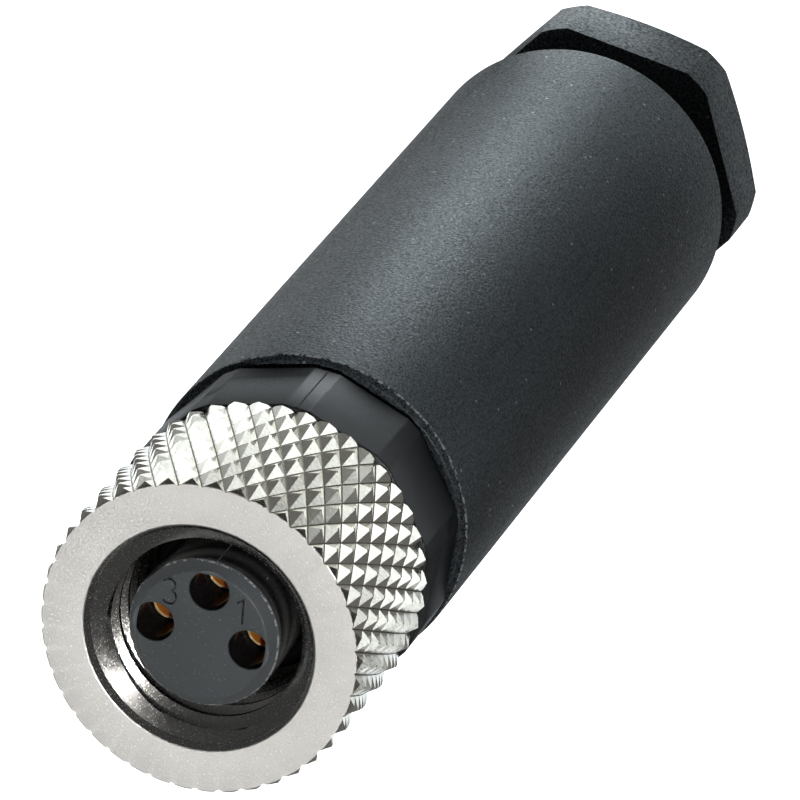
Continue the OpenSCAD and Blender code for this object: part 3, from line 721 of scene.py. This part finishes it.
def eroded_black(name, dark, light, grain_mm, depth_mm, roughness, rim=None):
    """Black plastic from a spark-eroded mould: two sizes of grain, small bright specks, and a painted
    highlight at a given rim.
    """
    finish, tree, shader, place = new_finish(name)
    coarse = grain(tree, place, grain_mm, 2.0)
    fine = grain(tree, place, grain_mm * 0.6, 2.0)
    cloud = grain(tree, place, 5.0)
    specks = speckle(tree, place, grain_mm * 1.3)
    flecks = speckle(tree, place, FLECK_SPACING)
    pitted = reckoned(tree, "ADD", ranged(tree, cloud, -0.15, 0.15), ranged(tree, fine, 0, 1, 0.35, 0.65))
    base = tinted(tree, pitted, dark, light)
    worn = reckoned(tree, "MAXIMUM", ranged(tree, specks, 0.5, 0, 0.03, 0.13),
                    ranged(tree, flecks, 1, 0, 0.05, 0.09))
    # Where a rim height is given, a ragged pale band there is a painted highlight: the glint along the
    # sleeve's front edge.
    if rim is not None:
        height = add(tree, "ShaderNodeSeparateXYZ", {"Vector": place}).outputs["Z"]
        edge = reckoned(tree, "COMPARE", height, rim * MM, RIM_GLINT_WIDTH * MM)
        ragged_glint = reckoned(tree, "MULTIPLY", edge, ranged(tree, coarse, 0, 1, 0.45, 0.55))
        worn = reckoned(tree, "MAXIMUM", worn, ragged_glint)
    bright = add(tree, "ShaderNodeMix", {"Factor": worn}, data_type="RGBA")
    tree.links.new(base, bright.inputs[6])
    bright.inputs[7].default_value = (0.3, 0.31, 0.32, 1)
    tree.links.new(bright.outputs[2], shader.inputs["Base Color"])
    tree.links.new(ranged(tree, coarse, *roughness), shader.inputs["Roughness"])
    facing = add(tree, "ShaderNodeLayerWeight", {"Blend": 0.5}).outputs["Facing"]
    gloss = reckoned(tree, "MULTIPLY", ranged(tree, facing, 0.5, 0.07, 0.6, 0.85),
                     ranged(tree, fine, 0.35, 1.65, 0.32, 0.68))
    shader.inputs["Specular IOR Level"].default_value = 0.3
    tree.links.new(gloss, shader.inputs["Specular IOR Level"])
    shader.inputs["Specular Tint"].default_value = (0.86, 1.0, 1.05, 1)
    under = embossed(tree, coarse, depth_mm)
    tree.links.new(embossed(tree, fine, depth_mm * 0.4, under), shader.inputs["Normal"])
    return finish


low, high = node_box("sleeve")
sleeve_low, sleeve_high = low.z, high.z
edge_z, edge_r = sleeve_high - SLEEVE_RIM, SLEEVE_R - SLEEVE_RIM
# The sleeve's black has the painted highlight along its front rim, at edge_z.
sleeve_black = eroded_black("sleeve_eroded_black", (0.002, 0.003, 0.004), (0.034, 0.039, 0.043), 0.13, 0.028,
                            (0.4, 0.6), edge_z)
sleeve = bmesh.new()
mouth_z = sleeve_high - SLEEVE_MOUTH_DEPTH
lathe(sleeve, rounded((SLEEVE_R, sleeve_low), (0, sleeve_low), (SLEEVE_R, sleeve_high), SLEEVE_EDGE, 6)
      + [(SLEEVE_R, sleeve_low + share * (sleeve_high - sleeve_low)) for share in (0.2, 0.4, 0.6, 0.8)]
      + rounded((SLEEVE_R, edge_z), (SLEEVE_R, 0), (edge_r, sleeve_high), RIM_ROUND)
      + rounded((edge_r, sleeve_high), (SLEEVE_R, edge_z), (0, sleeve_high), LIP_ROUND)
      + rounded((SLEEVE_MOUTH_R, sleeve_high), (SLEEVE_R, sleeve_high), (SLEEVE_MOUTH_R, 0), MOUTH_ROUND)
      + [(SLEEVE_MOUTH_R, mouth_z), (SLEEVE_THREAD_R, mouth_z - (SLEEVE_MOUTH_R - SLEEVE_THREAD_R)),
         (SLEEVE_THREAD_R, CHAMBER_TOP), (CHAMBER_R, CHAMBER_TOP - (SLEEVE_THREAD_R - CHAMBER_R)),
         (CHAMBER_R, WEB_HIGH), (WEB_R, WEB_HIGH), (WEB_R, WEB_LOW), (REAR_BORE_R, WEB_LOW),
         (REAR_BORE_R, sleeve_low + SLEEVE_REAR_EDGE), (REAR_BORE_R + SLEEVE_REAR_EDGE, sleeve_low)],
      SLEEVE_STEPS, closed=True)
settle("grained_sleeve", sleeve, "sleeve_body", [sleeve_black], ["sleeve"], crease=40)

# Cable seal: a thick rubber bush with three grooves round it, moulded in one piece.
# The clamp ring presses it against the sleeve's web, so that it closes on the cable.
SEAL_BORE_R, SEAL_BORE_EDGE, SEAL_EDGE = 2.5, 0.2, 0.15
SEAL_GROOVES, SEAL_GROOVE_R, SEAL_GROOVE_STEPS = 3, 0.3, 8
low, high = node_box("cable_seal")
seal_r, seal_entry_r = high.x, SEAL_BORE_R + SEAL_BORE_EDGE
outline = [(seal_entry_r, low.z), (seal_r - SEAL_EDGE, low.z), (seal_r, low.z + SEAL_EDGE)]
for groove in range(1, SEAL_GROOVES + 1):
    groove_z = low.z + groove * (high.z - low.z) / (SEAL_GROOVES + 1)
    for step in range(SEAL_GROOVE_STEPS + 1):
        angle = math.pi * step / SEAL_GROOVE_STEPS
        outline.append((seal_r - SEAL_GROOVE_R * math.sin(angle), groove_z - SEAL_GROOVE_R * math.cos(angle)))
outline += [(seal_r, high.z - SEAL_EDGE), (seal_r - SEAL_EDGE, high.z), (seal_entry_r, high.z),
            (SEAL_BORE_R, high.z - SEAL_BORE_EDGE), (SEAL_BORE_R, low.z + SEAL_BORE_EDGE)]
bush = bmesh.new()
lathe(bush, outline, ROUND_STEPS, closed=True)
settle("cable_bush", bush, "sleeve_body", [rubber], ["cable_seal"])

# Clamp ring: a dark plastic ring with eight fingers that close on the cable.
# It is moulded and lies loose between the seal and the pressing screw.
CLAMP_BORE_R, CLAMP_BASE_H, CLAMP_TAPER, CLAMP_EDGE = 2.9, 0.95, 0.64, 0.1
CLAMP_FINGERS, CLAMP_SLOT = 8, 0.6
FINGER_EDGE, FINGER_SUNK, FINGER_STEPS = 0.06, 0.02, 10
clamp_grey, tree, shader, place = new_finish("clamp_satin_grey")
fine = grain(tree, place, 0.07, 3.0)
cloud = grain(tree, place, 0.8)
coloured(tree, shader, cloud, (0.05, 0.053, 0.057), (0.075, 0.079, 0.085))
tree.links.new(ranged(tree, fine, 0.35, 0.5), shader.inputs["Roughness"])
tree.links.new(embossed(tree, fine, 0.004), shader.inputs["Normal"])

low, high = node_box("clamp_ring")
clamp_r = (high.y - low.y) / 2
shoulder = low.z + CLAMP_BASE_H
clamp = bmesh.new()
lathe(clamp, [(CLAMP_BORE_R + CLAMP_EDGE, low.z), (clamp_r - CLAMP_EDGE, low.z),
              (clamp_r, low.z + CLAMP_EDGE), (clamp_r, shoulder), (CLAMP_BORE_R, shoulder),
              (CLAMP_BORE_R, low.z + CLAMP_EDGE)],
      ROUND_STEPS, closed=True)
finger_low = shoulder - FINGER_SUNK
finger_outline = [(CLAMP_BORE_R, finger_low), (clamp_r, finger_low), (clamp_r, high.z - 2 * CLAMP_TAPER),
                  (clamp_r - CLAMP_TAPER, high.z), (CLAMP_BORE_R, high.z)]
half_slot = math.asin(CLAMP_SLOT / 2 / ((CLAMP_BORE_R + clamp_r) / 2))
for finger in range(CLAMP_FINGERS):
    start = finger * math.tau / CLAMP_FINGERS + half_slot
    blank = bmesh.new()
    corners = [blank.verts.new((r * math.cos(start), r * math.sin(start), z)) for r, z in finger_outline]
    section = blank.faces.new(corners)
    bmesh.ops.spin(blank, geom=[section, *section.edges, *section.verts], cent=(0, 0, 0), axis=(0, 0, 1),
                   angle=math.tau / CLAMP_FINGERS - 2 * half_slot, steps=FINGER_STEPS)
    bmesh.ops.recalc_face_normals(blank, faces=blank.faces)
    soften(blank, FINGER_EDGE)
    joined(clamp, blank)
settle("finger_clamp_ring", clamp, "clamp", [clamp_grey], ["clamp_ring"])

# Pressing screw: the black hexagon-headed hollow screw at the cable end, moulded with a coarser grain.
# Its thread runs into the sleeve and presses the clamp ring; the part stands on its flat end.
HEX_AF, HEX_H, HEX_CORNER_R, HEX_FACE_R, HEX_ANGLE = 10.8, 3.3, 5.95, 4.9, 55
HEX_CHAMFER_ANGLE, HEX_EDGE, HEX_TRIM = 30, 0.12, 1
CABLE_BORE_R, CABLE_BORE_EDGE = 2.7, 0.5
GLAND_THREAD_ROOT, GLAND_THREAD_CREST, GLAND_PITCH, STUB_SUNK = 4.0, 4.5, 1.0, 0.05
gland_black = eroded_black("gland_coarse_black", (0.004, 0.0045, 0.005), (0.074, 0.073, 0.072), 0.19, 0.035,
                           (0.5, 0.66))
low, high = node_box("pressing_screw")
stub_low, stub_top, trim_z = HEX_H - STUB_SUNK, high.z, HEX_H + HEX_TRIM
hexagon = prism(6, HEX_AF, math.radians(HEX_ANGLE), 0, HEX_H)
chamfer_h = (HEX_CORNER_R - HEX_FACE_R) * math.tan(math.radians(HEX_CHAMFER_ANGLE))
turned = bmesh.new()
lathe(turned, [(CABLE_BORE_R + CABLE_BORE_EDGE, 0), (HEX_FACE_R, 0), (HEX_CORNER_R, chamfer_h),
               (HEX_CORNER_R, trim_z), (CABLE_BORE_R, trim_z), (CABLE_BORE_R, CABLE_BORE_EDGE)],
      ROUND_STEPS, closed=True)
gland = carved(hexagon, turned, "INTERSECT")
bmesh.ops.remove_doubles(gland, verts=gland.verts, dist=1e-3)
soften(gland, HEX_EDGE, over=15, segments=3)
stub = bmesh.new()
thread_wall(stub, GLAND_THREAD_ROOT, GLAND_THREAD_CREST, stub_low, stub_top, GLAND_PITCH)
bore = []
for height in (stub_low, stub_top):
    bore += ring_edges(stub, ROUND_STEPS, CABLE_BORE_R, height)
bmesh.ops.bridge_loops(stub, edges=bore)
close_ends(stub)
joined(gland, stub)
settle("hexagon_pressing_screw", gland, "gland_screw", [gland_black], ["pressing_screw"])

# Studio: a white floor for the eye, low enough for the gland screw to come down in the poses, and a lit card
# at the part's foot that the camera doesn't see. A soft light hangs overhead, a narrow one lights the nut's
# mouth, and the camera has the photograph's angle; these three are placed in metres, the rest in millimetres.
AIM, CAMERA_DISTANCE = Vector((0, 0, 0.0275)), 0.38354
ELEVATION, MERIDIAN, ROLL = 61.84, 63.65, -139.83
FLOOR_GLOW, FLOOR_Z, CARD_Z, CARD_HALF = 0.95, -6.0, 0.1, 3000
FLOOR_OUTLINE = [(0, FLOOR_Z), (2000, FLOOR_Z), (2300, 80), (2500, 300), (2600, 700), (2600, 2200)]
TABLE_POOL, FOOT_SHADE = (-16, 0, 36, 60, 1.05), (0, 0, 12, 19, 0.35)
TABLE_EDGE_SLANT, TABLE_EDGE_FULL, TABLE_EDGE_NONE = 1.35, 8, 11
CARD_POOLS = ((15, 15.5, 3, 10, 5.2), (5.2, 5.2, 1.5, 4.5, 2.4), (68, 20, 14, 42, 1.7),
              (66, -26, 12, 26, 1.6), (40, -42, 10, 20, 1.5), (-50, 38, 14, 40, 1.5))
OVERHEAD_DISTANCE, OVERHEAD_SIZE, OVERHEAD_POWER = 0.5, 0.4, 0.5
SNOOT_MERIDIAN, SNOOT_ELEVATION, SNOOT_DISTANCE = 25, 68, 0.45
SNOOT_SPREAD, SNOOT_POWER, SNOOT_BLEND, SNOOT_SOFT = 0.0075, 24.0, 0.5, 0.015


def direction(meridian, elevation):
    """Unit vector towards a meridian and an elevation in degrees."""
    level = math.cos(math.radians(elevation))
    turn = math.radians(meridian)
    return Vector((level * math.cos(turn), level * math.sin(turn), math.sin(math.radians(elevation))))


def pale(name):
    """The studio's matt white, slightly uneven."""
    finish, tree, shader, place = new_finish(name)
    coloured(tree, shader, grain(tree, place, 40.0), (0.86, 0.86, 0.86), (0.84, 0.84, 0.845))
    shader.inputs["Roughness"].default_value = 0.9
    shader.inputs["Specular IOR Level"].default_value = 0.1
    return finish, tree, shader, place


def staged(name, bm, finish):
    """Adds a floor or card of the studio, which isn't part of the object."""
    mesh = bpy.data.meshes.new(name)
    bm.to_mesh(mesh)
    bm.free()
    mesh.materials.append(finish)
    thing = bpy.data.objects.new(name, mesh)
    bpy.context.scene.collection.objects.link(thing)
    return thing


def faded(tree, distance, full_mm, none_mm):
    """Share of light that falls softly from all to nothing between two distances."""
    inputs = {"Value": distance, "From Min": full_mm * MM, "From Max": none_mm * MM,
              "To Min": 1.0, "To Max": 0.0}
    return add(tree, "ShaderNodeMapRange", inputs, interpolation_type="SMOOTHSTEP").outputs["Result"]


def pool(tree, place, forward, aside, full, none, strength):
    """A round part of the card, placed towards and beside the camera in millimetres, and its strength."""
    centre = (ahead * forward + beside * aside) * MM
    away = add(tree, "ShaderNodeVectorMath", {0: place, 1: centre}, operation="DISTANCE").outputs["Value"]
    return reckoned(tree, "MULTIPLY", faded(tree, away, full, none), strength)


def hung(name, lamp, target, way, distance):
    """Hangs a lamp at a distance from the point that it looks at."""
    holder = bpy.data.objects.new(name, lamp)
    holder.location = target + way * distance
    holder.rotation_euler = (-way).to_track_quat("-Z", "Y").to_euler()
    bpy.context.scene.collection.objects.link(holder)
    return holder


back = direction(MERIDIAN, ELEVATION)
ahead = Vector((back.x, back.y, 0)).normalized()
beside = Vector((0, 0, 1)).cross(ahead)
camera_data = bpy.data.cameras.new("camera")
camera_data.lens, camera_data.sensor_width = 472.5, 36.0
camera_data.clip_start, camera_data.clip_end = 0.05, 20.0
camera = bpy.data.objects.new("camera", camera_data)
camera.rotation_mode = "QUATERNION"
camera.location = AIM + back * CAMERA_DISTANCE
camera.rotation_quaternion = (-back).to_track_quat("-Z", "Y") @ Quaternion((0, 0, 1), math.radians(ROLL))
bpy.context.scene.collection.objects.link(camera)
bpy.context.scene.camera = camera
bpy.context.scene.view_settings.view_transform = "Standard"

floor_pale, tree, shader, place = pale("floor_pale")
shader.inputs["Emission Color"].default_value = (1.0, 1.0, 1.0, 1)
shader.inputs["Emission Strength"].default_value = FLOOR_GLOW
sheet = bmesh.new()
lathe(sheet, FLOOR_OUTLINE, ROUND_STEPS)
bmesh.ops.scale(sheet, vec=(MM, MM, MM), verts=sheet.verts)
floor = staged("studio_floor", sheet, floor_pale)
floor.visible_glossy = floor.visible_diffuse = False

card_white, tree, shader, place = pale("card_lit_from_below")
unshaded = reckoned(tree, "SUBTRACT", 1.0, pool(tree, place, *FOOT_SHADE))
table = reckoned(tree, "MULTIPLY", pool(tree, place, *TABLE_POOL), unshaded)
across = (ahead - TABLE_EDGE_SLANT * beside).normalized()
side = add(tree, "ShaderNodeVectorMath", {0: place, 1: across}, operation="DOT_PRODUCT").outputs["Value"]
glow = reckoned(tree, "MULTIPLY", table, faded(tree, side, TABLE_EDGE_FULL, TABLE_EDGE_NONE))
for patch in CARD_POOLS:
    glow = reckoned(tree, "ADD", glow, pool(tree, place, *patch))
tree.links.new(glow, shader.inputs["Emission Strength"])
shader.inputs["Emission Color"].default_value = (0.92, 1.0, 1.04, 1)
sheet = bmesh.new()
bmesh.ops.create_grid(sheet, x_segments=4, y_segments=4, size=CARD_HALF * MM,
                      matrix=Matrix.Translation((0, 0, CARD_Z * MM)))
card = staged("reflector_card", sheet, card_white)
card.visible_camera = card.visible_shadow = False

world = bpy.data.worlds.new("studio")
bpy.context.scene.world = world
world.use_nodes = True
world.node_tree.nodes["Background"].inputs["Color"].default_value = (0.95, 0.98, 1.0, 1)
world.node_tree.nodes["Background"].inputs["Strength"].default_value = 0.04

overhead = bpy.data.lights.new("overhead", "AREA")
overhead.size = OVERHEAD_SIZE
overhead.energy = OVERHEAD_POWER
softbox = hung("overhead", overhead, AIM, Vector((-back.x, -back.y, back.z)), OVERHEAD_DISTANCE)
softbox.visible_camera = False
snoot = bpy.data.lights.new("snoot", "SPOT")
snoot.energy = SNOOT_POWER
snoot.spot_size = 2 * math.atan(SNOOT_SPREAD / SNOOT_DISTANCE)
snoot.spot_blend = SNOOT_BLEND
snoot.shadow_soft_size = SNOOT_SOFT
hung("snoot", snoot, Vector((0, 0, cad_high.z)), direction(SNOOT_MERIDIAN, SNOOT_ELEVATION), SNOOT_DISTANCE)
